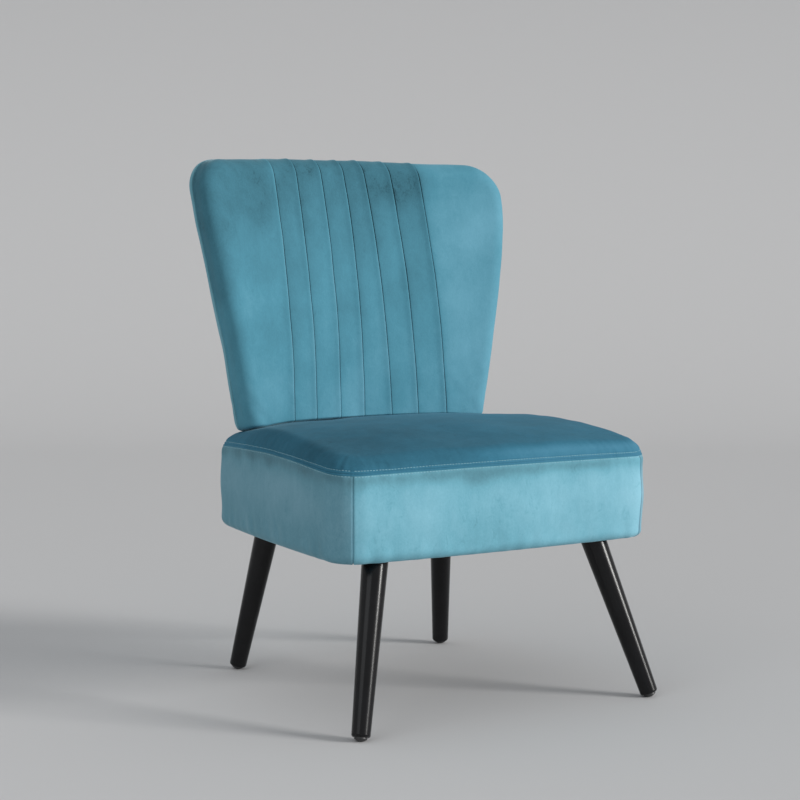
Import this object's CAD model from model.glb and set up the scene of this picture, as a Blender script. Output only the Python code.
import math
import bpy
import bmesh
import numpy as np
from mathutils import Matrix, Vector, geometry


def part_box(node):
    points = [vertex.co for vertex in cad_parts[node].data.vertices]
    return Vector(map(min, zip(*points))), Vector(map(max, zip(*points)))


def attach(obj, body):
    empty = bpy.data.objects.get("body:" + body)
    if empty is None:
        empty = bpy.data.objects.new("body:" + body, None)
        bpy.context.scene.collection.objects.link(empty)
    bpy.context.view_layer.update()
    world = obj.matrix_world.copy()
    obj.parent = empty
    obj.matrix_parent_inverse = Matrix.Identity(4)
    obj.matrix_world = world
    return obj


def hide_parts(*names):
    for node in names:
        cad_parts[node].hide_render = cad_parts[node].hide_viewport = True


# Slipper chair dressed for the render: velvet seat and back with their seams, folds and
# stitching, lacquered legs, and a plain studio floor. Shapes are worked out in millimetres
# in the chair's own construction frame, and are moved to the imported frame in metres.

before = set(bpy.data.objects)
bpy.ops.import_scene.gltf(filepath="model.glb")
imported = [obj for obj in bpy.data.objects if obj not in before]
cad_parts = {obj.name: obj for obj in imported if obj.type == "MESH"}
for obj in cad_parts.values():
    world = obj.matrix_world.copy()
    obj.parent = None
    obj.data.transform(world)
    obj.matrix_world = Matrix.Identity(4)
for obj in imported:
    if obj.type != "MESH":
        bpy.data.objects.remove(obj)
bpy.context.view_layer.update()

# Seat sizes over the fabric
seat_front_half = 277.5
seat_rear_half = 239.0
seat_front = -234.0
seat_rear = 234.0
seat_corner_radius = 46.0
seat_bows = (11.0, 7.0, 6.0, 7.0)
seat_underside = 243.0
seat_crown = 421.0
crown_apex = 1.0
crown_front_drop = 25.0
crown_rear_drop = 24.0
crown_side_drop = 10.0
rear_corner_sag = 7.0
seam_height = 375.0
seam_follow = 0.45
seat_top_round = 30.0
seat_bottom_round = 15.0
corner_seam_angle = math.radians(60.0)
side_bulge = 2.2
seat_turn_under = 24.0

# Back sizes over the fabric
back_bottom = 385.0
back_top = 830.0
back_bottom_half = 220.0
back_wing_half = 282.0
back_wing_height = 739.0
back_top_crown = 7.0
back_bottom_corner = 32.0
back_wing_blend = 372.0
back_top_corner = 54.0
back_thickness = 60.0
back_front_y = 161.0
back_lean_low = math.tan(math.radians(1.0))
back_lean_high = math.tan(math.radians(20.0))
back_plan_radius_bottom = 1200.0
back_plan_radius_top = 700.0
back_front_round = 26.0
back_rear_round = 6.0
back_band_width = 14.0
back_rear_seam_inset = 9.0

# Folds of the back: where each line stands at mid height, and how far it drifts by the top
fold_places = (-139.0, -95.5, -48.0, -3.5, 41.0, 89.5, 141.0)
fold_drifts = (0.0, 1.5, 2.5, 2.0, -4.5, -4.8, -5.3)
fold_rise = 2.3
fold_width = 15.0

# Stitching
stitch_row_offset = 3.9
stitch_pitch = 4.9
stitch_length = 3.0
stitch_radius = 0.45

# Dust cloth under the seat
dust_inset = 30.0
dust_drop = 1.1
dust_sag = 1.6
dust_thickness = 0.8

# Camera, fitted to the photograph
camera_azimuth = math.radians(-31.3089)
camera_pitch = math.radians(4.6315)
camera_distance = 3.0133
camera_target = (0.0, 0.0399, 0.4449)
focal_pixels = 1902.36
image_pixels = 800.0
sensor_width = 36.0

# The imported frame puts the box's centre at y = 0, so the front rail gives the shift
rail_front = seat_front + 12.0
shift_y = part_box("seat_front_rail")[0].y * 1000.0 - rail_front


def lumps(points, size, seed, waves=14):
    """Smooth noise, mostly between -1 and 1, with lumps of about one size."""
    rng = np.random.default_rng(seed)
    directions = rng.normal(size=(waves, 3))
    directions /= np.linalg.norm(directions, axis=1)[:, None]
    rates = 2.0 * np.pi / (size * rng.uniform(1.3, 2.6, waves))
    phases = rng.uniform(0.0, 2.0 * np.pi, waves)
    total = np.cos(points @ (directions * rates[:, None]).T + phases).sum(axis=1)
    return total / math.sqrt(waves)


def ripples(place, length, shortest, longest, seed, waves=10):
    """Smooth closed noise along a loop of a given length."""
    rng = np.random.default_rng(seed)
    counts = rng.integers(int(length / longest), int(length / shortest) + 1, waves)
    phases = rng.uniform(0.0, 2.0 * np.pi, waves)
    angles = 2.0 * np.pi * np.outer(place, counts) / length + phases
    return np.cos(angles).sum(axis=1) / math.sqrt(waves)


def smooth_step(value):
    """Eased step from 0 to 1."""
    t = np.clip(value, 0.0, 1.0)
    return t * t * (3.0 - 2.0 * t)


def bump(value, width):
    """Bell of height 1 at zero."""
    return np.exp(-(value / width) ** 2)


# Building meshes
def make_object(name, points, faces, materials, face_slots=None, nap=None):
    """Mesh object from millimetre points in the construction frame."""
    placed = np.array(points, float)
    placed[:, 1] += shift_y
    mesh = bpy.data.meshes.new(name)
    mesh.from_pydata((placed * 0.001).tolist(), [], [list(face) for face in faces])
    for material in materials:
        mesh.materials.append(material)
    if face_slots is not None:
        mesh.polygons.foreach_set("material_index", np.array(face_slots, np.int32))
    mesh.polygons.foreach_set("use_smooth", np.ones(len(mesh.polygons), bool))
    built = bmesh.new()
    built.from_mesh(mesh)
    bmesh.ops.recalc_face_normals(built, faces=built.faces)
    built.to_mesh(mesh)
    built.free()
    if nap is not None:
        brushed = mesh.attributes.new("nap", "FLOAT", "POINT")
        brushed.data.foreach_set("value", np.array(nap, np.float32))
    mesh.update()
    piece = bpy.data.objects.new(name, mesh)
    bpy.context.scene.collection.objects.link(piece)
    return piece


def ring_faces(rows, count, start=0):
    """Quads between closed rings of points."""
    faces = []
    for row in range(rows - 1):
        base = start + row * count
        for index in range(count):
            after = (index + 1) % count
            faces.append((base + index, base + after, base + count + after, base + count + index))
    return faces


def point_normals(points, faces):
    """Normal at each point of a mesh, from the faces round it."""
    normals = np.zeros_like(points)
    quads = np.array([face for face in faces if len(face) == 4], int).reshape(-1, 4)
    tris = np.array([face for face in faces if len(face) == 3], int).reshape(-1, 3)
    for corners in (quads, tris):
        if len(corners) == 0:
            continue
        a = points[corners[:, 0]]
        b = points[corners[:, 1]]
        c = points[corners[:, 2]]
        d = points[corners[:, -1]]
        if corners.shape[1] == 4:
            flat = np.cross(c - a, d - b)
        else:
            flat = np.cross(b - a, c - a)
        for column in range(corners.shape[1]):
            np.add.at(normals, corners[:, column], flat)
    return normals / (np.linalg.norm(normals, axis=1)[:, None] + 1e-12)


# Seat form
def crown(x, y):
    """Height of the seat's plain crown."""
    reach = np.where(y < crown_apex, crown_apex - seat_front, seat_rear - crown_apex)
    drop = np.where(y < crown_apex, crown_front_drop, crown_rear_drop)
    along = drop * ((y - crown_apex) / reach) ** 2
    across = crown_side_drop * (x / seat_front_half) ** 2
    return seat_crown - along - across


def seam_level(x, y):
    """Height of the seam, which follows the crown in part."""
    return seam_height + seam_follow * (crown(x, y) - crown(0.0, np.array(seat_front)))


def soft_crown(x, y):
    """The crown as it lies: the rear corners sink a little under the back."""
    sag = smooth_step((np.abs(x) - 130.0) / 110.0) * smooth_step((y - 40.0) / 150.0)
    return crown(x, y) - rear_corner_sag * sag


def turned(normal, angle):
    """Plan direction turned by an angle."""
    c, s = math.cos(angle), math.sin(angle)
    return np.array([normal[0] * c - normal[1] * s, normal[0] * s + normal[1] * c])


def seat_loop():
    """Dense table of the seat's plan outline: place along it, x, y and outward angle."""
    corners = [np.array([-seat_front_half, seat_front]), np.array([seat_front_half, seat_front]),
               np.array([seat_rear_half, seat_rear]), np.array([-seat_rear_half, seat_rear])]
    radius = seat_corner_radius
    normals = []
    lengths = []
    for index in range(4):
        run = corners[(index + 1) % 4] - corners[index]
        lengths.append(np.linalg.norm(run))
        run = run / lengths[-1]
        normals.append(np.array([run[1], -run[0]]))
    rims = []
    offsets = []
    for index in range(4):
        bow = seat_bows[index]
        rims.append((lengths[index] ** 2 * 0.25 + bow ** 2) / (2.0 * bow))
        share = 1.0 - 2.0 * radius / lengths[index]
        offsets.append(bow * (1.0 - share ** 2))
    centres = []
    for index in range(4):
        before = index - 1
        rows = np.array([normals[before], normals[index]])
        sides = [normals[before] @ corners[index] + offsets[before] - radius,
                 normals[index] @ corners[index] + offsets[index] - radius]
        centres.append(np.linalg.solve(rows, np.array(sides)))
    points = []
    angles = []
    for index in range(4):
        start = centres[index]
        end = centres[(index + 1) % 4]
        half = math.asin(np.linalg.norm(end - start) * 0.5 / rims[index])
        first = start + radius * turned(normals[index], -half)
        last = end + radius * turned(normals[index], half)
        rim = np.linalg.norm(last - first) / (2.0 * math.sin(half))
        base = math.atan2(normals[index][1], normals[index][0])
        for turn in np.linspace(-half, half, 500):
            step = turned(normals[index], turn) - turned(normals[index], -half)
            points.append(first + rim * step)
            angles.append(base + turn)
        after = (index + 1) % 4
        next_run = np.linalg.norm(centres[(after + 1) % 4] - end)
        next_half = math.asin(next_run * 0.5 / rims[after])
        next_base = math.atan2(normals[after][1], normals[after][0])
        low = base + half
        high = next_base - next_half
        while high < low:
            high += 2.0 * math.pi
        for angle in np.linspace(low, high, 200)[1:-1]:
            points.append(end + radius * np.array([math.cos(angle), math.sin(angle)]))
            angles.append(angle)
    points = np.array(points)
    angles = np.unwrap(np.array(angles))
    steps = np.linalg.norm(np.roll(points, -1, axis=0) - points, axis=1)
    places = np.concatenate([[0.0], np.cumsum(steps)])
    points = np.vstack([points, points[:1]])
    angles = np.append(angles, angles[0] + 2.0 * math.pi)
    return places, points, angles


seat_places, seat_points, seat_angles = seat_loop()
seat_length = seat_places[-1]


def seat_edge(place):
    """Outline point and outward normal at places along the seat's outline."""
    at = np.mod(place, seat_length)
    x = np.interp(at, seat_places, seat_points[:, 0])
    y = np.interp(at, seat_places, seat_points[:, 1])
    angle = np.interp(at, seat_places, seat_angles)
    return x, y, np.cos(angle), np.sin(angle)


def seat_seam_turn(place):
    """How far up the rounded top edge the seam lies, as an angle."""
    x, y, nx, ny = seat_edge(place)
    turn = np.full_like(x, 0.3)
    for _ in range(12):
        inset = seat_top_round * (1.0 - np.cos(turn))
        px = x - nx * inset
        py = y - ny * inset
        rise = (seam_level(px, py) - soft_crown(px, py)) / seat_top_round + 1.0
        turn = 0.5 * turn + 0.5 * np.arcsin(np.clip(rise, 0.02, 0.98))
    return turn


def seat_surface(place, way):
    """Seat surface: place runs round the outline, way runs from the seam, up positive."""
    x, y, nx, ny = seat_edge(place)
    turn = seat_seam_turn(place)
    r = seat_top_round
    rb = seat_bottom_round
    lower = -turn * r
    angle = np.clip(turn + way / r, 0.0, math.pi * 0.5)
    extra = np.maximum(way - (math.pi * 0.5 - turn) * r, 0.0)
    inset_up = r * (1.0 - np.cos(angle)) + extra
    side_top = soft_crown(x, y) - r
    side = side_top - seat_underside - rb
    down = np.maximum(lower - way, 0.0)
    wrap = np.clip((down - side) / rb, 0.0, math.pi * 0.5)
    under = np.maximum(down - side - rb * math.pi * 0.5, 0.0)
    inset_down = rb * (1.0 - np.cos(wrap)) + under
    inset_down = inset_down - side_bulge * np.sin(math.pi * np.clip(down / side, 0.0, 1.0)) ** 1.5
    inset = np.where(way >= lower, inset_up, inset_down)
    px = x - nx * inset
    py = y - ny * inset
    z_up = soft_crown(px, py) - r * (1.0 - np.sin(angle))
    z_down = side_top - np.minimum(down, side) - rb * np.sin(wrap)
    return np.stack([px, py, np.where(way >= lower, z_up, z_down)], axis=-1)


def corner_seam_places():
    """Places of the four upright seams of the seat's border."""
    found = []
    for target in (-corner_seam_angle, corner_seam_angle, math.pi - corner_seam_angle,
                   math.pi + corner_seam_angle):
        for turn in range(-2, 3):
            angle = target + turn * 2.0 * math.pi
            if seat_angles[0] <= angle < seat_angles[-1]:
                found.append(float(np.interp(angle, seat_angles, seat_places)))
                break
    return sorted(found)


seam_places = corner_seam_places()


def nearest_seam(place):
    """Signed distance along the outline to the nearest upright seam."""
    best = np.full_like(place, 1e6)
    for seam in seam_places:
        away = np.mod(place - seam + seat_length * 0.5, seat_length) - seat_length * 0.5
        best = np.where(np.abs(away) < np.abs(best), away, best)
    return best


def seat_relief(place, way):
    """Height of the seams and of the gathers beside them, over the seat's plain form."""
    press = smooth_step((7.5 - np.abs(way)) / 3.0)
    top_seam = -1.0 * bump(way, 0.8) + 0.45 * bump(np.abs(way) - 2.0, 0.9) * press
    rows = -0.6 * bump(np.abs(way) - stitch_row_offset, 0.8)
    swell = 0.8 * bump(way - 9.0, 5.0) + 0.5 * bump(way + 9.0, 4.5)
    away = nearest_seam(place)
    on_border = smooth_step((-way - 2.0) / 2.5)
    upright = (-1.9 * bump(away, 0.9) + 0.22 * bump(np.abs(away) - 3.4, 2.2)) * on_border
    pull = 0.6 + 1.1 * bump(away, 45.0)
    above = np.where(way > 0, np.exp(-np.abs(way) / 20.0), np.exp(-np.abs(way) / 11.0))
    start = smooth_step((np.abs(way) - 1.0) / 6.0)
    gathers = ripples(place, seat_length, 12.0, 34.0, 5) * 0.5 * pull * above * start
    gathers = gathers + ripples(place, seat_length, 5.5, 9.0, 6) * 0.30 * bump(way, 6.0)
    hem = bump(way + 118.0, 14.0)
    tacks = ripples(place, seat_length, 26.0, 70.0, 8) * 0.6 * hem
    return top_seam + rows + swell + upright + gathers + tacks


def seat_swell(points):
    """Slight unevenness of the stuffing."""
    return lumps(points, 75.0, 3) * 1.0 + lumps(points, 24.0, 4) * 0.25


def seat_normals(place, way):
    """Outward normals of the seat's plain form."""
    step = 0.4
    along = seat_surface(place + step, way) - seat_surface(place - step, way)
    across = seat_surface(place, way + step) - seat_surface(place, way - step)
    normal = np.cross(along, across)
    return normal / (np.linalg.norm(normal, axis=-1, keepdims=True) + 1e-9)


def seat_grid_places():
    """Places of the mesh columns, close together at the upright seams."""
    places = list(np.arange(0.0, seat_length, 2.4))
    cluster = np.array([-6.0, -4.4, -3.2, -2.2, -1.4, -0.8, -0.4, 0.0, 0.4, 0.8, 1.4, 2.2, 3.2, 4.4, 6.0])
    for seam in seam_places:
        places = [p for p in places
                  if abs((p - seam + seat_length * 0.5) % seat_length - seat_length * 0.5) > 7.2]
        places += list(np.mod(seam + cluster, seat_length))
    return np.sort(np.array(places))


def build_seat(materials):
    """Closed, crowned, boxed cushion with its sewn seams."""
    place = seat_grid_places()
    count = len(place)
    near = np.array([-9.0, -7.3, -6.0, -5.2, -4.5, -3.9, -3.3, -2.6, -1.9, -1.2, -0.6, 0.0,
                     0.6, 1.2, 1.9, 2.6, 3.3, 3.9, 4.5, 5.2, 6.0, 7.3, 9.0, 11.0, 13.5, 16.5, 20.0])
    turn = seat_seam_turn(place)
    x, y = seat_edge(place)[:2]
    side = soft_crown(x, y) - seat_top_round - seat_underside - seat_bottom_round
    full = turn * seat_top_round + side + seat_bottom_round * math.pi * 0.5 + seat_turn_under
    border_rows = 43
    rows = []
    ways = []
    for share in np.linspace(1.0, 0.0, border_rows + 1)[:-1]:
        ways.append(near[0] - (full + near[0]) * share)
    for value in near:
        ways.append(np.full(count, value))
    rim = (math.pi * 0.5 - turn) * seat_top_round + 4.0
    for share in np.linspace(0.0, 1.0, 8)[1:]:
        ways.append(near[-1] + (rim - near[-1]) * share)
    for way in ways:
        base = seat_surface(place, way)
        normal = seat_normals(place, way)
        rows.append(base + normal * seat_relief(place, way)[:, None])
    edge = seat_surface(place, ways[-1])
    middle = np.array([0.0, 10.0])
    fade = seat_relief(place, ways[-1])
    for share in np.linspace(0.0, 1.0, 40)[1:-1] ** 0.9:
        flat = edge[:, :2] * (1.0 - share) + middle * share
        z = soft_crown(flat[:, 0], flat[:, 1])
        z = z + fade * np.exp(-share * 9.0)
        rows.append(np.column_stack([flat, z]))
    points = np.vstack(rows)
    faces = ring_faces(len(rows), count)
    top = len(points)
    last = (len(rows) - 1) * count
    points = np.vstack([points, [[middle[0], middle[1], float(soft_crown(middle[0], middle[1]))]],
                        [[0.0, 0.0, seat_underside]]])
    for index in range(count):
        after = (index + 1) % count
        faces.append((last + index, last + after, top))
        faces.append((after, index, top + 1))
    soft = seat_swell(points)
    normals = point_normals(points, faces)
    above = smooth_step((points[:, 2] - seat_underside - 4.0) / 12.0)
    points = points + normals * (soft * above)[:, None]
    seam_row = border_rows + int(np.argmin(np.abs(near + 2.6)))
    slots = []
    for face in faces:
        row = min(face) // count
        if max(face) >= top:
            slots.append(0)
            continue
        if row >= seam_row:
            slots.append(0)
            continue
        at = place[face[0] % count]
        if seam_places[0] <= at < seam_places[1]:
            slots.append(2)
        elif seam_places[1] <= at < seam_places[2]:
            slots.append(3)
        elif seam_places[2] <= at < seam_places[3]:
            slots.append(2)
        else:
            slots.append(1)
    way_of = np.concatenate([np.concatenate(ways), np.full(len(points) - len(ways) * count, 60.0)])
    nap = seat_nap(points, way_of)
    return make_object("seat_cushion", points, faces, materials, slots, nap)


def seat_nap(points, way):
    """How the pile lies: 0 is brushed dark, 1 is brushed light."""
    x, y = points[:, 0], points[:, 1]
    ragged = lumps(points, 30.0, 41) * 5.0
    under = bump(np.clip(-way - 4.0 + ragged, 0.0, None), 14.0) * (way < 0)
    border = 0.52 - 0.30 * under + 0.22 * smooth_step((x - 170.0) / 90.0)
    border = border + 0.10 * bump(way + 55.0, 40.0)
    top = 0.43 - 0.24 * np.exp(-(((x + 190.0) / 150.0) ** 2 + ((y + 120.0) / 160.0) ** 2))
    top = top + 0.30 * np.exp(-(((x - 120.0) / 120.0) ** 2 + ((y - 90.0) / 90.0) ** 2))
    top = top + 0.34 * bump(way - 14.0, 9.0) * smooth_step((x + 120.0) / 200.0)
    return np.where(way < -2.0, border, top) + 0.25 * bump(way, 4.5)


def stitch_shape():
    """Small capsule along X, as points and faces."""
    rings = [(-0.5, 0.25), (-0.42, 0.8), (-0.2, 1.0), (0.2, 1.0), (0.42, 0.8), (0.5, 0.25)]
    sides = 7
    points = []
    for along, size in rings:
        for index in range(sides):
            angle = 2.0 * math.pi * index / sides
            points.append((along, size * math.cos(angle), size * math.sin(angle)))
    faces = ring_faces(len(rings), sides)
    faces.append(tuple(range(sides - 1, -1, -1)))
    faces.append(tuple(range((len(rings) - 1) * sides, len(rings) * sides)))
    return np.array(points), faces


def build_stitches(name, centres, directions, normals, material):
    """One mesh of many single stitches."""
    shape, shape_faces = stitch_shape()
    points = []
    faces = []
    for centre, direction, normal in zip(centres, directions, normals):
        side = np.cross(normal, direction)
        base = len(points) * len(shape)
        block = (centre + np.outer(shape[:, 0] * stitch_length, direction)
                 + np.outer(shape[:, 1] * stitch_radius, side)
                 + np.outer(shape[:, 2] * stitch_radius, normal))
        points.append(block)
        faces += [tuple(base + index for index in face) for face in shape_faces]
    return make_object(name, np.vstack(points), faces, [material])


def seat_stitches(material):
    """Two rows of topstitching along the seat's seam."""
    centres = []
    directions = []
    normals = []
    rng = np.random.default_rng(12)
    number = int(seat_length / stitch_pitch)
    for offset in (-stitch_row_offset, stitch_row_offset):
        place = (np.arange(number) + 0.5) * seat_length / number
        way = offset + rng.normal(0.0, 0.06, number)
        keep = np.abs(nearest_seam(place)) > 3.0
        place = place[keep]
        way = way[keep]
        normal = seat_normals(place, way)
        centre = seat_surface(place, way) + normal * (seat_relief(place, way) + 0.22)[:, None]
        centre = centre + normal * seat_swell(centre)[:, None]
        ahead = seat_surface(place + 1.0, way) - seat_surface(place - 1.0, way)
        ahead = ahead / np.linalg.norm(ahead, axis=1)[:, None]
        ahead = ahead + normal * rng.normal(0.0, 0.03, len(place))[:, None]
        ahead = ahead / np.linalg.norm(ahead, axis=1)[:, None]
        centres.append(centre)
        directions.append(ahead)
        normals.append(normal)
    return build_stitches("seat_topstitching", np.vstack(centres), np.vstack(directions),
                          np.vstack(normals), material)


def build_dust_cover(material):
    """Black cloth under the seat, a little slack between its tacked edges."""
    place = np.arange(0.0, seat_length, 6.0)
    x, y, nx, ny = seat_edge(place)
    count = len(place)
    rings = []
    for share in np.linspace(0.0, 1.0, 30)[:-1]:
        px = (x - nx * dust_inset) * (1.0 - share)
        py = (y - ny * dust_inset) * (1.0 - share)
        sag = dust_sag * smooth_step(np.full(count, share * 2.5))
        rings.append(np.column_stack([px, py, np.full(count, seat_underside - dust_drop) - sag]))
    low = np.vstack(rings)
    low[:, 2] += lumps(low, 40.0, 31) * 0.35
    count_low = len(low)
    faces = ring_faces(len(rings), count)
    low = np.vstack([low, [[0.0, 0.0, low[-1][2]]]])
    last = (len(rings) - 1) * count
    for index in range(count):
        faces.append((last + index, last + (index + 1) % count, count_low))
    high = low + np.array([0.0, 0.0, dust_thickness])
    shift = len(low)
    faces += [tuple(shift + v for v in reversed(face)) for face in list(faces)]
    for index in range(count):
        after = (index + 1) % count
        faces.append((index, after, shift + after, shift + index))
    return make_object("dust_cloth_under_seat", np.vstack([low, high]), faces, [material])


# Back form
def back_surface(x, z, depth):
    """How far back the pad's face lies at a depth behind its hollow front."""
    rise = z - back_bottom
    share = rise / (back_top - back_bottom)
    slope = back_lean_low + (back_lean_high - back_lean_low) * share
    profile = (back_lean_low + slope) * 0.5 * rise
    hollow = (1.0 - share) / back_plan_radius_bottom + share / back_plan_radius_top
    return back_front_y + profile - 0.5 * hollow * x * x + depth * np.sqrt(1.0 + slope ** 2)


def rounded_corner(before, corner, after, radius, count):
    """Points of an arc that rounds a corner of an outline."""
    into = (before - corner) / np.linalg.norm(before - corner)
    out = (after - corner) / np.linalg.norm(after - corner)
    half = math.acos(np.clip(into @ out, -1.0, 1.0)) * 0.5
    away = radius / math.sin(half)
    centre = corner + (into + out) / np.linalg.norm(into + out) * away
    start = corner + into * radius / math.tan(half) - centre
    end = corner + out * radius / math.tan(half) - centre
    first = math.atan2(start[1], start[0])
    sweep = math.atan2(start[0] * end[1] - start[1] * end[0], start @ end)
    return [centre + radius * np.array([math.cos(first + sweep * t), math.sin(first + sweep * t)])
            for t in np.linspace(0.0, 1.0, count)]


def back_loop():
    """Dense table of the shield outline, from the middle of the bottom, anticlockwise."""
    shoulder = back_top - back_top_crown
    bottom = np.array([back_bottom_half, back_bottom])
    wing = np.array([back_wing_half, back_wing_height])
    top = np.array([back_wing_half, shoulder])
    rim = (back_wing_half ** 2 + back_top_crown ** 2) / (2.0 * back_top_crown)
    points = [np.array([0.0, back_bottom])]
    points += rounded_corner(np.array([0.0, back_bottom]), bottom, wing, back_bottom_corner, 60)
    points += rounded_corner(bottom, wing, top, back_wing_blend, 80)
    corner_x = back_wing_half - back_top_corner
    corner_z = back_top - rim + math.sqrt((rim - back_top_corner) ** 2 - corner_x ** 2)
    last_turn = math.atan2(corner_z - back_top + rim, corner_x)
    for turn in np.linspace(0.0, last_turn, 60):
        points.append(np.array([corner_x + back_top_corner * math.cos(turn),
                                corner_z + back_top_corner * math.sin(turn)]))
    start = points[-1][0]
    for x in np.linspace(start, 0.0, 200)[1:]:
        points.append(np.array([x, back_top - rim + math.sqrt(rim ** 2 - x ** 2)]))
    right = np.array(points)
    left = right[::-1][1:-1] * np.array([-1.0, 1.0])
    loop = np.vstack([right, left])
    fine = []
    for index in range(len(loop)):
        start = loop[index]
        end = loop[(index + 1) % len(loop)]
        steps = max(int(np.linalg.norm(end - start) / 2.0), 1)
        for step in range(steps):
            fine.append(start + (end - start) * step / steps)
    loop = np.array(fine)
    ahead = np.roll(loop, -1, axis=0) - np.roll(loop, 1, axis=0)
    normal = np.column_stack([ahead[:, 1], -ahead[:, 0]])
    normal /= np.linalg.norm(normal, axis=1)[:, None]
    upright = 1.0 - smooth_step((np.abs(loop[:, 0]) - 165.0) / 40.0)
    upright = upright * (np.abs(normal[:, 1]) > 0.8)
    straight = np.column_stack([np.zeros(len(loop)), np.sign(normal[:, 1])])
    normal = normal * (1.0 - upright[:, None]) + straight * upright[:, None]
    normal /= np.linalg.norm(normal, axis=1)[:, None]
    steps = np.linalg.norm(np.roll(loop, -1, axis=0) - loop, axis=1)
    places = np.concatenate([[0.0], np.cumsum(steps)])
    return places, np.vstack([loop, loop[:1]]), np.vstack([normal, normal[:1]])


back_places, back_points, back_normals = back_loop()
back_length = back_places[-1]


def back_edge(place):
    """Outline point and outward normal at places along the shield."""
    at = np.mod(place, back_length)
    columns = [np.interp(at, back_places, back_points[:, 0]), np.interp(at, back_places, back_points[:, 1]),
               np.interp(at, back_places, back_normals[:, 0]), np.interp(at, back_places, back_normals[:, 1])]
    return columns


def fold_line(index, z):
    """Where a fold's edge stands at a height."""
    reach = np.clip(z, 400.0, 815.0) - 600.0
    return fold_places[index] + fold_drifts[index] * reach / 200.0


fold_columns = (-15.0, -11.0, -8.0, -5.5, -3.6, -2.2, -1.3, -0.8, -0.45, -0.2, 0.0, 0.25, 0.6, 1.1,
                1.9, 3.0, 4.8, 7.5)


def fold_relief(x, z):
    """Height of the laid folds: each strip ends in a rounded edge over the next one."""
    height = np.zeros_like(x)
    for index in range(len(fold_places)):
        u = x - fold_line(index, z)
        ramp = smooth_step((u + fold_width) / fold_width) ** 1.6 * fold_rise
        inside = np.clip(-u / 0.95, 0.0, 1.0)
        edge = np.sqrt(np.clip(1.0 - (1.0 - inside) ** 2, 0.0, 1.0))
        left = ramp * edge
        right = -1.7 * np.exp(-np.clip(u, 0.0, None) / 1.6)
        height = height + np.where(u < 0, np.where(u > -fold_width, left, 0.0),
                                   np.where(u < 14.0, right, 0.0))
    return height


def back_grid_places():
    """Places along the outline, close together where the folds cross its top and bottom."""
    places = list(np.arange(0.0, back_length, 4.0))
    crossing = []
    half = back_length * 0.5
    for index in range(len(fold_places)):
        for offset in fold_columns:
            top_x = float(fold_line(index, np.array(830.0))) + offset
            low_x = float(fold_line(index, np.array(385.0))) + offset
            crossing.append(half - top_x)
            crossing.append(low_x % back_length)
    crossing = np.array(crossing)
    places = np.array([p for p in places if np.min(np.abs(crossing - p)) > 1.6])
    return np.sort(np.concatenate([places, crossing]))


def inside_loop(points, loop):
    """Which points lie inside a closed outline."""
    result = np.zeros(len(points), bool)
    x, z = points[:, 0], points[:, 1]
    for index in range(len(loop)):
        ax, az = loop[index]
        bx, bz = loop[(index + 1) % len(loop)]
        crosses = (az > z) != (bz > z)
        if not crosses.any():
            continue
        at = ax + (z - az) * (bx - ax) / (bz - az + 1e-12)
        result ^= crosses & (x < at)
    return result


def back_fill_points(loop):
    """Points inside the front face, in columns that follow the folds."""
    points = []
    row = 0
    z = back_bottom + 6.0
    while z < back_top - 6.0:
        folds = [float(fold_line(index, np.array(z))) for index in range(len(fold_places))]
        xs = []
        for fold in folds:
            xs += [fold + offset for offset in fold_columns]
        gap = [folds[0] - 15.0] + [fold + 7.5 for fold in folds]
        stop = [fold - 15.0 for fold in folds[1:]]
        for start, end in zip(gap[1:], stop):
            pieces = max(int(round((end - start) / 6.0)), 2)
            xs += [start + (end - start) * k / pieces for k in range(1, pieces)]
        nudge = 3.0 if row % 2 else 0.0
        x = gap[0] - 6.0 - nudge
        while x > -300.0:
            xs.append(x)
            x -= 6.0
        x = gap[-1] + 6.0 + nudge
        while x < 300.0:
            xs.append(x)
            x += 6.0
        points += [(x, z) for x in xs]
        z += 5.2
        row += 1
    points = np.array(points)
    centre = np.array([0.0, 600.0])
    shrunk = centre + (loop - centre) * 0.988
    return points[inside_loop(points, shrunk)]


def ring_turn(points, faces, count, straight_row=18):
    """Whether the rings' faces already point outwards, read on the straight side."""
    row = straight_row * count
    total = 0.0
    for face in faces[row:row + count]:
        a, b, c, d = points[list(face)]
        flat = np.cross(c - a, d - b)
        total += flat @ ((a + c) * 0.5 - np.array([0.0, 230.0, 620.0]))
    return total > 0


def squeeze(points):
    """Presses the foot of the back on to the crown of the seat."""
    ground = soft_crown(points[:, 0], points[:, 1]) - 1.5
    reach = ground + 7.0
    share = np.clip((points[:, 2] - back_bottom + 3.0) / (reach - back_bottom + 3.0), 0.0, 1.0)
    pressed = ground + share * 7.0
    z = np.where(points[:, 2] < reach, pressed, points[:, 2])
    return np.column_stack([points[:, 0], points[:, 1], z])


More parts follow.
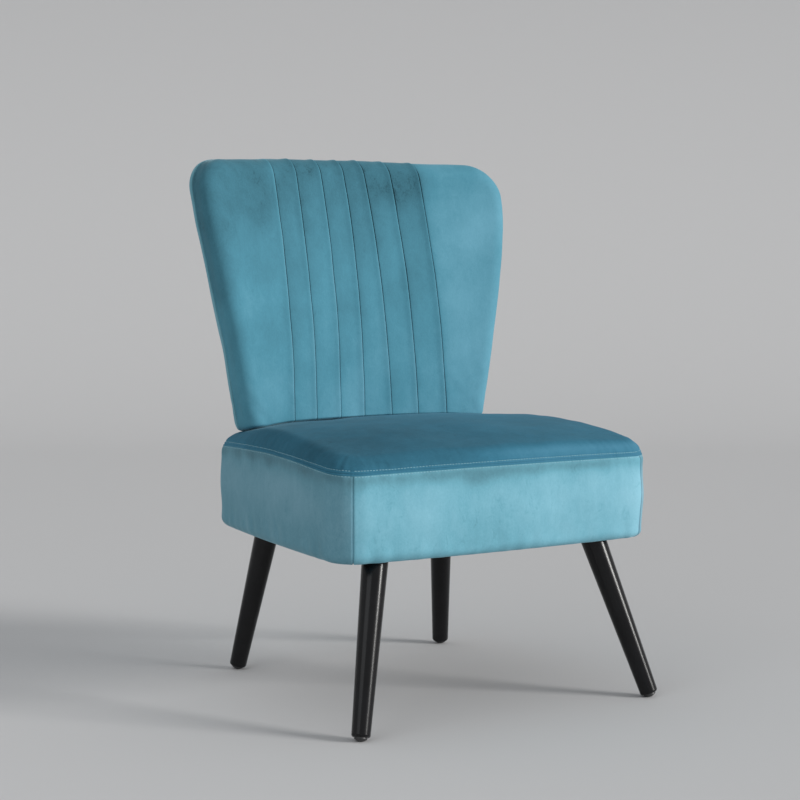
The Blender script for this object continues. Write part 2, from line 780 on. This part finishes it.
def build_back(materials):
    """Closed shield pad: folded front, side band and plain rear panel."""
    place = back_grid_places()
    ox, oz, nx, nz = back_edge(place)
    count = len(place)
    rf = back_front_round
    rr = back_rear_round
    seam_depth = back_thickness - back_band_width
    # Each point's inset from the outline; those away from the edge all get this one
    inner = 99.0
    rows = []
    wraps = []
    for turn in np.linspace(math.pi * 0.5, 0.0, 15):
        rows.append((rf * (1.0 - math.cos(turn)), rf * (1.0 - math.sin(turn))))
    side = [30.0, 34.0, 38.0, 41.0, 43.0, 44.2, 45.0, 45.6, seam_depth, 46.4, 47.0, 47.8, 49.0, 51.0]
    rows += [(0.0, depth) for depth in side]
    for turn in np.linspace(0.0, math.pi * 0.5, 6):
        rows.append((rr * (1.0 - math.cos(turn)), back_thickness - rr + rr * math.sin(turn)))
    rear = [7.2, 8.0, 8.6, back_rear_seam_inset, 9.4, 10.0, 11.0, 13.0, 17.0, 23.0]
    rows += [(inset, back_thickness) for inset in rear]
    rings = []
    for inset, depth in rows:
        x = ox - nx * inset
        z = oz - nz * inset
        rings.append(np.column_stack([x, back_surface(x, z, depth), z]))
        wraps.append((inset, depth))
    last = rings[-1]
    centre = np.array([0.0, 600.0])
    for share in np.linspace(0.0, 1.0, 40)[1:-1]:
        x = last[:, 0] * (1.0 - share) + centre[0] * share
        z = last[:, 2] * (1.0 - share) + centre[1] * share
        rings.append(np.column_stack([x, back_surface(x, z, back_thickness), z]))
        wraps.append((inner, back_thickness))
    points = np.vstack(rings)
    faces = ring_faces(len(rings), count)
    info = np.repeat(np.array(wraps), count, axis=0)
    hub = len(points)
    base = (len(rings) - 1) * count
    hub_point = np.array([[0.0, float(back_surface(0.0, 600.0, back_thickness)), 600.0]])
    for index in range(count):
        faces.append((base + index, base + (index + 1) % count, hub))
    points = np.vstack([points, hub_point])
    loop = rings[0][:, [0, 2]]
    fill = back_fill_points(loop)
    flat = [Vector((float(x), float(z))) for x, z in np.vstack([loop, fill])]
    edges = [(index, (index + 1) % count) for index in range(count)]
    cut = geometry.delaunay_2d_cdt(flat, edges, [], 1, 1e-4)
    found = np.array([(v.x, v.y) for v in cut[0]])
    order = {}
    for new, sources in enumerate(cut[3]):
        for source in sources:
            if source < count:
                order[new] = source
    extra = []
    start = len(points)
    index_of = {}
    for new in range(len(found)):
        if new in order:
            index_of[new] = order[new]
        else:
            index_of[new] = start + len(extra)
            x, z = found[new]
            extra.append((x, float(back_surface(x, z, 0.0)), z))
    points = np.vstack([points, np.array(extra)])
    right_way = ring_turn(points, faces, count)
    faces = [face if right_way else face[::-1] for face in faces]
    for face in cut[2]:
        corners_of = [index_of[v] for v in face]
        a, b, c = points[corners_of]
        towards_front = np.cross(b - a, c - a)[1] < 0
        faces.append(tuple(corners_of if towards_front else corners_of[::-1]))
    total = len(points)
    info = np.vstack([info, [[inner, back_thickness]], np.tile([[inner, 0.0]], (total - start, 1))])
    normals = point_normals(points, faces)
    depth = info[:, 1]
    inset = info[:, 0]
    front = smooth_step((44.0 - depth) / 9.0)
    fold = fold_relief(points[:, 0], points[:, 2]) * front
    fade = 1.0 - 0.45 * smooth_step((depth - 6.0) / 22.0)
    low = smooth_step((points[:, 2] - 388.0) / 10.0)
    relief = fold * fade * low
    relief += -2.2 * bump(depth - seam_depth, 0.9) + 0.7 * bump(np.abs(depth - seam_depth) - 3.0, 2.0)
    on_rear = (depth >= back_thickness - 0.01) & (inset < 90.0)
    relief += np.where(on_rear, -1.5 * bump(inset - back_rear_seam_inset, 0.8)
                       + 0.5 * bump(np.abs(inset - back_rear_seam_inset) - 2.6, 1.6), 0.0)
    soft = lumps(points, 70.0, 21) * 0.8 + lumps(points, 26.0, 22) * 0.25
    corner = np.minimum(np.hypot(np.abs(points[:, 0]) - 190.0, points[:, 2] - 415.0) / 60.0, 3.0)
    tug = np.exp(-corner ** 2) * lumps(points, 13.0, 23) * 0.55
    relief += soft + tug
    points = points + normals * relief[:, None]
    points = squeeze(points)
    slots = []
    for face in faces:
        d = depth[list(face)].mean()
        flat_rear = min(depth[list(face)]) >= back_thickness - 0.01
        if d < seam_depth:
            slots.append(0)
        elif flat_rear and min(inset[list(face)]) >= back_rear_seam_inset - 0.01:
            slots.append(2)
        else:
            slots.append(1)
    return make_object("back_pad", points, faces, materials, slots, back_nap(points, depth))


def back_nap(points, depth):
    """How the pile of the back lies: 0 is brushed dark, 1 is brushed light."""
    x, z = points[:, 0], points[:, 2]
    ragged = lumps(points, 60.0, 51) * 0.05
    height = (z - 600.0) / 200.0
    folded = 0.44 - 0.20 * height - 0.08 * smooth_step((z - 740.0) / 60.0)
    folds = [fold_line(index, z) for index in range(len(fold_places))]
    strip = np.zeros_like(x)
    line = np.zeros_like(x)
    rim = np.zeros_like(x)
    for index in range(len(folds)):
        behind = x - folds[index]
        near = (behind > 0) * (behind < 60.0)
        strip = strip - (0.14 * np.exp(-np.clip(behind, 0.0, None) / 14.0)) * near
        line = line + 0.70 * smooth_step((2.4 - np.clip(behind, 0.0, None)) / 1.2) * near
        rim = rim + 0.45 * np.exp(-np.clip(-behind, 0.0, None) / 1.5) * (behind <= -0.3) * (behind > -20.0)
    left = 0.46 - 0.42 * bump(np.minimum(z - 790.0, 0.0), 70.0) * smooth_step((-x - 90.0) / 110.0)
    left = left - 0.22 * smooth_step((-x - 215.0) / 55.0) + 0.12 * bump(z - 470.0, 70.0)
    right = 0.76 - 0.20 * smooth_step((z - 730.0) / 70.0)
    right = right - 0.14 * np.exp(-np.clip(x - folds[-1], 0.0, None) / 16.0)
    nap = np.where(x < folds[0], left, np.where(x > folds[-1], right + strip, folded + strip))
    nap = np.where(depth > back_thickness - back_band_width, 0.62, nap + rim * (depth < 30.0))
    nap = np.clip(nap + ragged, 0.16, 1.2) - line * smooth_step((40.0 - depth) / 8.0)
    return nap - 0.45 * bump(depth - back_thickness + back_band_width, 1.2)


# Materials
def new_material(name):
    """Empty node material, its tree and its shader."""
    material = bpy.data.materials.new(name)
    material.use_nodes = True
    tree = material.node_tree
    shader = tree.nodes["Principled BSDF"]
    return material, tree, shader


def node(tree, kind, **values):
    """New node with its inputs or settings filled in."""
    made = tree.nodes.new(kind)
    for key, value in values.items():
        if key in made.inputs:
            made.inputs[key].default_value = value
        else:
            setattr(made, key, value)
    return made


def maths(tree, kind, first, second):
    """Sum, difference or product of two sockets or numbers."""
    made = tree.nodes.new("ShaderNodeMath")
    made.operation = kind
    for index, value in enumerate((first, second)):
        if isinstance(value, float):
            made.inputs[index].default_value = value
        else:
            tree.links.new(value, made.inputs[index])
    return made.outputs[0]


def noise(tree, coordinates, scale, detail, rough, squash=None, distortion=0.0):
    """Noise texture, drawn out along an axis where squash is given."""
    if squash is not None:
        mapping = node(tree, "ShaderNodeMapping")
        mapping.inputs["Scale"].default_value = squash
        tree.links.new(coordinates, mapping.inputs["Vector"])
        coordinates = mapping.outputs["Vector"]
    made = node(tree, "ShaderNodeTexNoise", Scale=scale, Detail=detail, Roughness=rough,
                Distortion=distortion)
    tree.links.new(coordinates, made.inputs["Vector"])
    return made.outputs["Fac"]


def ramp(tree, source, stops):
    """Colour that runs through the given stops."""
    made = tree.nodes.new("ShaderNodeValToRGB")
    elements = made.color_ramp.elements
    while len(elements) < len(stops):
        elements.new(0.5)
    for element, (position, color) in zip(elements, stops):
        element.position = position
        element.color = (*color, 1.0)
    tree.links.new(source, made.inputs["Fac"])
    return made.outputs["Color"]


def velvet(name, tone, sheen, scuffs):
    """Cut-pile velvet: brushed patches, a fine pile and a soft sheen at the edges."""
    material, tree, shader = new_material(name)
    place = node(tree, "ShaderNodeTexCoord").outputs["Object"]
    lie = tree.nodes.new("ShaderNodeAttribute")
    lie.attribute_name = "nap"
    wide = noise(tree, place, 9.0, 4.0, 0.55, (1.0, 1.0, 0.8), 0.4)
    brushed = noise(tree, place, 42.0, 6.0, 0.68, (1.0, 1.0, 0.75), 0.5)
    streaks = noise(tree, place, 150.0, 2.0, 0.5, (1.0, 1.0, 0.12))
    pile = noise(tree, place, 420.0, 3.0, 0.65, (1.0, 1.0, 0.7))
    total = lie.outputs["Fac"]
    for source, amount in ((wide, 0.42), (brushed, 0.26), (streaks, 0.07), (pile, 0.20)):
        centred = maths(tree, "SUBTRACT", source, 0.5)
        total = maths(tree, "ADD", total, maths(tree, "MULTIPLY", centred, amount))
    marks = noise(tree, place, 80.0, 6.0, 0.72, (1.0, 1.0, 0.6), 1.1)
    rubbed = tree.nodes.new("ShaderNodeMapRange")
    rubbed.inputs["From Min"].default_value = 0.57
    rubbed.inputs["From Max"].default_value = 0.72
    tree.links.new(marks, rubbed.inputs["Value"])
    total = maths(tree, "SUBTRACT", total, maths(tree, "MULTIPLY", rubbed.outputs["Result"], scuffs))
    dark = tuple(channel * 0.56 for channel in tone)
    light = tuple(min(channel * factor, 0.95) for channel, factor in zip(tone, (2.10, 1.55, 1.50)))
    shadow = tuple(channel * 0.14 for channel in tone)
    colour = ramp(tree, total, [(0.0, shadow), (0.11, dark), (0.5, tone), (1.0, light)])
    tree.links.new(colour, shader.inputs["Base Color"])
    shader.inputs["Roughness"].default_value = 0.85
    shader.inputs["Specular IOR Level"].default_value = 0.12
    shader.inputs["Sheen Weight"].default_value = sheen
    shader.inputs["Sheen Roughness"].default_value = 0.32
    shader.inputs["Sheen Tint"].default_value = (0.62, 0.88, 0.96, 1.0)
    grain = node(tree, "ShaderNodeBump", Strength=0.16, Distance=0.0004)
    tree.links.new(pile, grain.inputs["Height"])
    soft = node(tree, "ShaderNodeBump", Strength=0.12, Distance=0.0022)
    tree.links.new(brushed, soft.inputs["Height"])
    tree.links.new(grain.outputs["Normal"], soft.inputs["Normal"])
    tree.links.new(soft.outputs["Normal"], shader.inputs["Normal"])
    return material


def lacquer():
    """Black gloss lacquer over turned wood."""
    material, tree, shader = new_material("black_lacquer")
    place = node(tree, "ShaderNodeTexCoord").outputs["Object"]
    cloudy = noise(tree, place, 30.0, 4.0, 0.6)
    grain = noise(tree, place, 160.0, 3.0, 0.55, (1.0, 1.0, 0.06))
    colour = ramp(tree, cloudy, [(0.3, (0.0025, 0.0025, 0.003)), (0.7, (0.005, 0.005, 0.006))])
    tree.links.new(colour, shader.inputs["Base Color"])
    rough = node(tree, "ShaderNodeMapRange")
    rough.inputs["To Min"].default_value = 0.20
    rough.inputs["To Max"].default_value = 0.30
    tree.links.new(cloudy, rough.inputs["Value"])
    tree.links.new(rough.outputs["Result"], shader.inputs["Roughness"])
    shader.inputs["Specular IOR Level"].default_value = 0.22
    shader.inputs["Coat Weight"].default_value = 0.15
    shader.inputs["Coat Roughness"].default_value = 0.10
    bumps = node(tree, "ShaderNodeBump", Strength=0.05, Distance=0.0004)
    tree.links.new(grain, bumps.inputs["Height"])
    tree.links.new(bumps.outputs["Normal"], shader.inputs["Normal"])
    return material


def plain_material(name, dark, light, scale, roughness, metallic=0.0, bump_size=0.0003, squash=None):
    """Material between two tones, with a fine grain."""
    material, tree, shader = new_material(name)
    place = node(tree, "ShaderNodeTexCoord").outputs["Object"]
    grain = noise(tree, place, scale, 4.0, 0.6, squash)
    colour = ramp(tree, grain, [(0.3, dark), (0.7, light)])
    tree.links.new(colour, shader.inputs["Base Color"])
    shader.inputs["Roughness"].default_value = roughness
    shader.inputs["Metallic"].default_value = metallic
    bumps = node(tree, "ShaderNodeBump", Strength=0.3, Distance=bump_size)
    tree.links.new(grain, bumps.inputs["Height"])
    tree.links.new(bumps.outputs["Normal"], shader.inputs["Normal"])
    return material


def dress_cad(names, material):
    """Gives solids that are kept as they are their finish."""
    for name in names:
        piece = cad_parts[name]
        piece.data.materials.clear()
        piece.data.materials.append(material)


top_velvet = velvet("seat_top_velvet", (0.040, 0.170, 0.255), 0.07, 0.12)
front_velvet = velvet("seat_front_velvet", (0.158, 0.402, 0.500), 0.30, 0.15)
side_velvet = velvet("seat_side_velvet", (0.132, 0.305, 0.382), 0.32, 0.12)
rear_velvet = velvet("seat_rear_velvet", (0.095, 0.300, 0.385), 0.30, 0.14)
back_velvet = velvet("back_front_velvet", (0.082, 0.272, 0.362), 0.34, 0.07)
band_velvet = velvet("back_band_velvet", (0.120, 0.320, 0.395), 0.38, 0.10)
thread = plain_material("thread", (0.24, 0.47, 0.55), (0.36, 0.60, 0.68), 900.0, 0.6)
black_cloth = plain_material("dust_cloth", (0.010, 0.010, 0.011), (0.026, 0.026, 0.028), 700.0, 0.95)
beech = plain_material("frame_beech", (0.46, 0.32, 0.19), (0.66, 0.50, 0.33), 90.0, 0.6, 0.0, 0.0003,
                       (0.08, 1.0, 1.0))
zinc = plain_material("zinc_steel", (0.50, 0.51, 0.53), (0.66, 0.67, 0.69), 300.0, 0.35, 1.0, 0.0001)
plastic = plain_material("glide_plastic", (0.020, 0.020, 0.021), (0.040, 0.040, 0.042), 500.0, 0.42, 0.0,
                         0.0001)
webbing = plain_material("webbing", (0.03, 0.03, 0.032), (0.10, 0.10, 0.105), 800.0, 0.85)
board = plain_material("liner_board", (0.38, 0.32, 0.24), (0.52, 0.45, 0.35), 200.0, 0.9)
black_lacquer = lacquer()

corners = ("front_left", "front_right", "rear_left", "rear_right")
dress_cad(["leg_" + corner for corner in corners], black_lacquer)
dress_cad(["glide_" + corner for corner in corners], plastic)
dress_cad(["corner_block_" + corner for corner in corners], beech)
dress_cad(["seat_front_rail", "seat_rear_rail", "seat_left_rail", "seat_right_rail", "back_left_stile",
           "back_right_stile", "back_top_rail", "back_bottom_rail", "back_centre_slat", "back_dowels"], beech)
dress_cad(["glide_nails", "leg_hanger_bolts", "leg_tee_nuts", "corner_block_screws", "back_bolts",
           "back_washers", "back_tee_nuts"], zinc)
dress_cad(["seat_long_webbing", "seat_cross_webbing", "back_webbing"], webbing)
dress_cad(["back_liner"], board)

seat = build_seat([top_velvet, front_velvet, side_velvet, rear_velvet])
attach(seat, "root")
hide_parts("seat_top_cover", "seat_front_border", "seat_rear_border", "seat_left_border",
            "seat_right_border", "seat_wadding", "seat_foam")

stitching = seat_stitches(thread)
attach(stitching, "root")

back = build_back([back_velvet, band_velvet, rear_velvet])
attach(back, "root")
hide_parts("pleated_front_cover", "back_side_band", "back_rear_panel", "back_foam")

dust = build_dust_cover(black_cloth)
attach(dust, "root")
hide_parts("dust_cover")


# Studio
def build_floor():
    """Pale floor that sweeps up into the backdrop."""
    profile = [(-60.0, 0.0), (3.4, 0.0)]
    for turn in np.linspace(0.0, math.pi * 0.5, 24)[1:]:
        profile.append((3.4 + 2.2 * math.sin(turn), 2.2 - 2.2 * math.cos(turn)))
    profile.append((5.6, 9.0))
    points = []
    for side in (-60.0, 60.0):
        for along, height in profile:
            x = -math.sin(camera_azimuth) * along + math.cos(camera_azimuth) * side
            y = math.cos(camera_azimuth) * along + math.sin(camera_azimuth) * side
            points.append((x, y, height))
    count = len(profile)
    faces = [(i, i + 1, count + i + 1, count + i) for i in range(count - 1)]
    mesh = bpy.data.meshes.new("studio_floor")
    mesh.from_pydata(points, [], faces)
    mesh.polygons.foreach_set("use_smooth", np.ones(len(faces), bool))
    material, _, shader = new_material("studio_floor")
    shader.inputs["Base Color"].default_value = (0.60, 0.60, 0.605, 1.0)
    shader.inputs["Roughness"].default_value = 0.9
    shader.inputs["Specular IOR Level"].default_value = 0.05
    mesh.materials.append(material)
    floor = bpy.data.objects.new("studio_floor", mesh)
    bpy.context.scene.collection.objects.link(floor)


def build_world():
    """Soft even light from all round."""
    world = bpy.data.worlds.new("studio")
    bpy.context.scene.world = world
    world.use_nodes = True
    light = world.node_tree.nodes["Background"]
    light.inputs["Color"].default_value = (0.96, 0.98, 1.0, 1.0)
    light.inputs["Strength"].default_value = 0.50


def sun_light(name, place, spread, strength, colour):
    """Distant lamp that points from a place at the origin."""
    data = bpy.data.lights.new(name, "SUN")
    data.angle = math.radians(spread)
    data.energy = strength
    data.color = colour
    lamp = bpy.data.objects.new(name, data)
    lamp.location = place
    lamp.rotation_euler = (-Vector(place)).to_track_quat("-Z", "Y").to_euler()
    bpy.context.scene.collection.objects.link(lamp)


def area_light(name, place, target, width, height, power, colour):
    """Rectangular lamp that points at a target."""
    data = bpy.data.lights.new(name, "AREA")
    data.shape = "RECTANGLE"
    data.size = width
    data.size_y = height
    data.energy = power
    data.color = colour
    lamp = bpy.data.objects.new(name, data)
    lamp.location = place
    lamp.rotation_euler = (Vector(target) - Vector(place)).to_track_quat("-Z", "Y").to_euler()
    bpy.context.scene.collection.objects.link(lamp)


def build_camera():
    """Camera at the photograph's viewing angle."""
    level = math.cos(camera_pitch)
    back_way = Vector((math.sin(camera_azimuth) * level, -math.cos(camera_azimuth) * level,
                       math.sin(camera_pitch)))
    data = bpy.data.cameras.new("photo_camera")
    data.sensor_width = sensor_width
    data.lens = focal_pixels / image_pixels * sensor_width
    camera = bpy.data.objects.new("photo_camera", data)
    camera.location = Vector(camera_target) + back_way * camera_distance
    camera.rotation_euler = (-back_way).to_track_quat("-Z", "Y").to_euler()
    bpy.context.scene.collection.objects.link(camera)
    bpy.context.scene.camera = camera


build_floor()
build_world()
sun_light("key", (2.3, -2.6, 1.15), 17.0, 2.3, (1.0, 0.985, 0.96))
area_light("strip", (3.4, -5.3, 2.1), (0.0, 0.0, 0.25), 0.35, 2.4, 26.0, (1.0, 1.0, 1.0))
area_light("fill", (-3.2, -1.2, 2.2), (0.0, 0.0, 0.4), 2.5, 2.0, 16.0, (0.94, 0.97, 1.0))
build_camera()
bpy.context.scene.view_settings.view_transform = "Standard"
